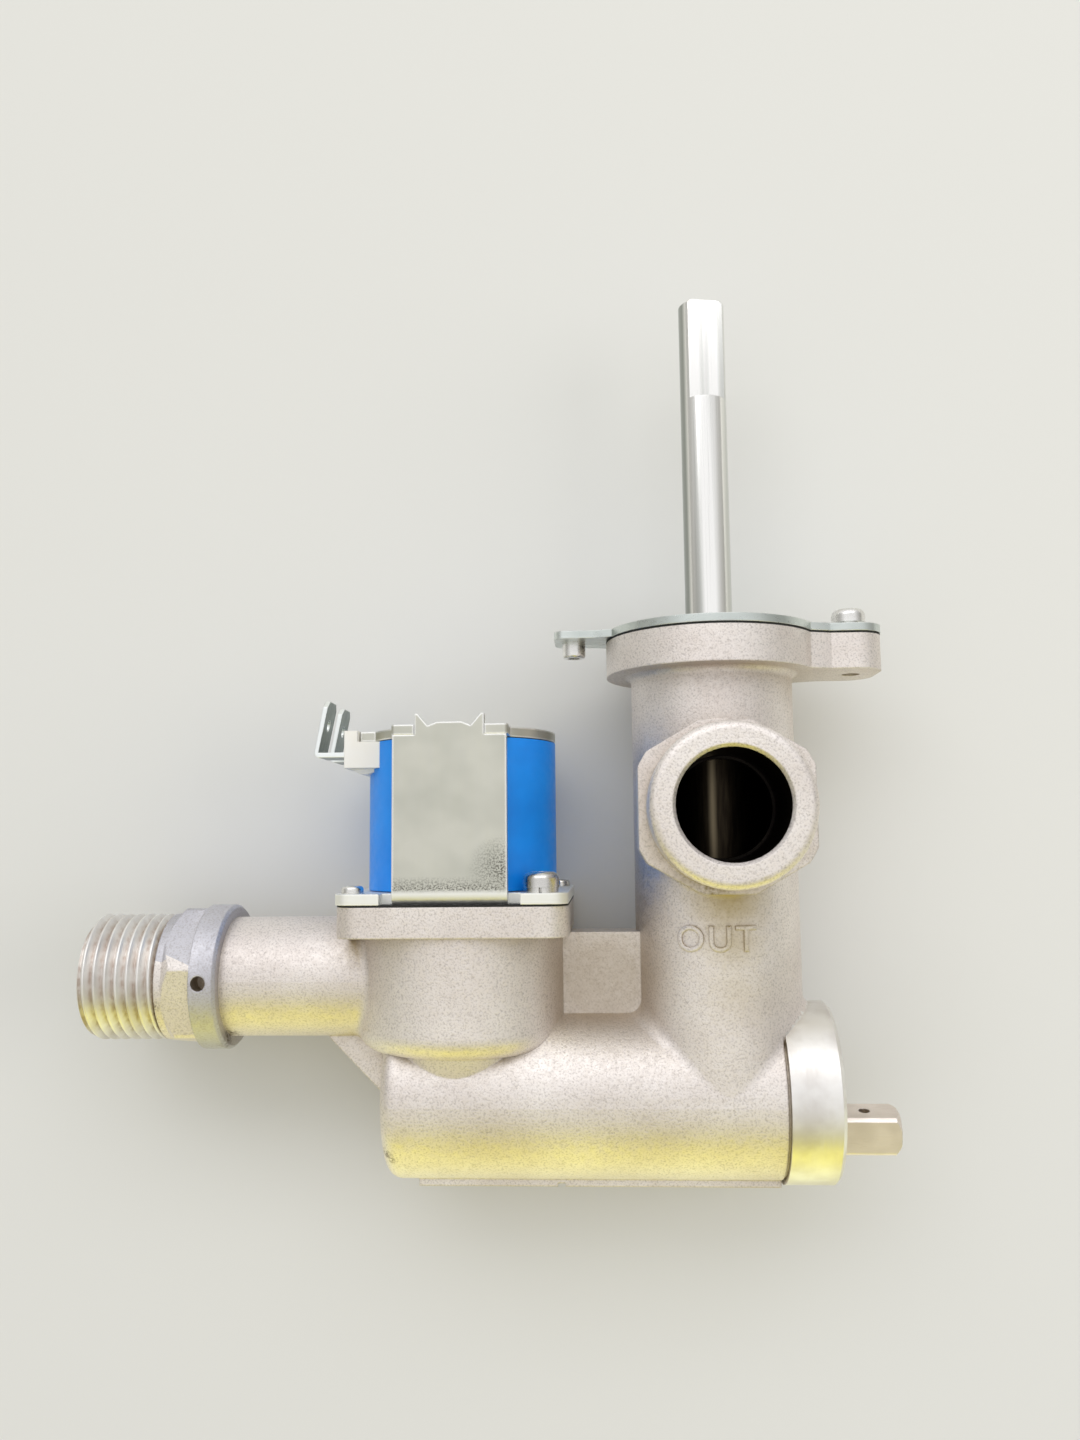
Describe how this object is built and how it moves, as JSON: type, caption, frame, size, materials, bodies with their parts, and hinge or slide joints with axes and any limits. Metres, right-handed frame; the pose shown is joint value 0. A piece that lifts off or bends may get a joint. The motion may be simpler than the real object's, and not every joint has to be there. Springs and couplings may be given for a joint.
{
  "type": "gas control valve",
  "caption": "Solenoid shut-off and hand-regulating gas valve with a threaded inlet pipe, a bored outlet boss and a geared square shaft end that follows the regulating shaft.",
  "frame": {"origin": "centre of the end face of the threaded inlet", "axes": "+X along the inlet pipe into the valve, +Y along the regulating shaft towards its tip, +Z out of the outlet port; the valve lies on its back"},
  "size_m": [0.1335, 0.1501, 0.0483],
  "materials": {
    "cast_aluminium": "bead blasted casting, machined ends",
    "steel_plate": "satin pressed plate",
    "polished_steel": "polished bar",
    "plated_steel": "zinc plated, satin",
    "spring_steel": "drawn wire",
    "brass": "turned",
    "copper_wire": "wound wire",
    "blue_skin": "smooth blue skin",
    "white_plastic": "moulded",
    "black_gasket": "matt sheet",
    "black_rubber": "moulded"
  },
  "bodies": {
    "housing": {"valve_body": "cast_aluminium", "cover_gasket": "black_gasket", "cover_plate": "steel_plate", "cover_screws": "plated_steel", "ear_nut": "plated_steel", "rotor_spring": "spring_steel", "shaft_gland": "brass", "regulating_shaft_seal": "black_rubber", "takeoff_shaft_seal": "black_rubber", "barrel_end_plug": "cast_aluminium", "end_plug_seal": "black_rubber", "end_plug_clip": "spring_steel", "bonnet_gasket": "black_gasket", "yoke_frame": "plated_steel", "yoke_top_plate": "plated_steel", "yoke_screws": "plated_steel", "spring_washers": "plated_steel", "locating_pins": "plated_steel", "coil_bobbin": "white_plastic", "coil_winding": "copper_wire", "coil_jacket": "blue_skin", "terminal_blade_front": "plated_steel", "terminal_blade_rear": "plated_steel", "core_tube": "plated_steel", "core_tube_seal": "black_rubber", "fixed_core": "plated_steel", "plunger_spring": "spring_steel"},
    "regulating_spindle": {"regulating_shaft": "polished_steel", "regulating_rotor": "brass", "rotor_pin": "polished_steel", "drive_gear": "brass"},
    "takeoff_spindle": {"takeoff_shaft": "polished_steel", "takeoff_gear": "brass"},
    "plunger": {"plunger": "polished_steel", "valve_disc": "black_rubber"}
  },
  "joints": [
    {"name": "regulator_turn", "type": "hinge", "parent": "housing", "child": "regulating_spindle", "pos_m": [0.1052, 0, 0], "axis": [0, 1, 0], "range_deg": [0, 90]},
    {"name": "takeoff_turn", "type": "hinge", "parent": "housing", "child": "takeoff_spindle", "pos_m": [0.12, -0.025, 0], "axis": [1, 0, 0], "range_deg": [-90, 0]},
    {"name": "plunger_lift", "type": "slide", "parent": "housing", "child": "plunger", "axis": [0, 1, 0], "range_m": [0, 0.0026], "stiffness_N_per_m": 600, "springref_m": -0.0033, "deforming": ["plunger_spring"]}
  ],
  "couplings": [
    {"joint": "takeoff_turn", "follows": "regulator_turn", "ratio": -1}
  ]
}
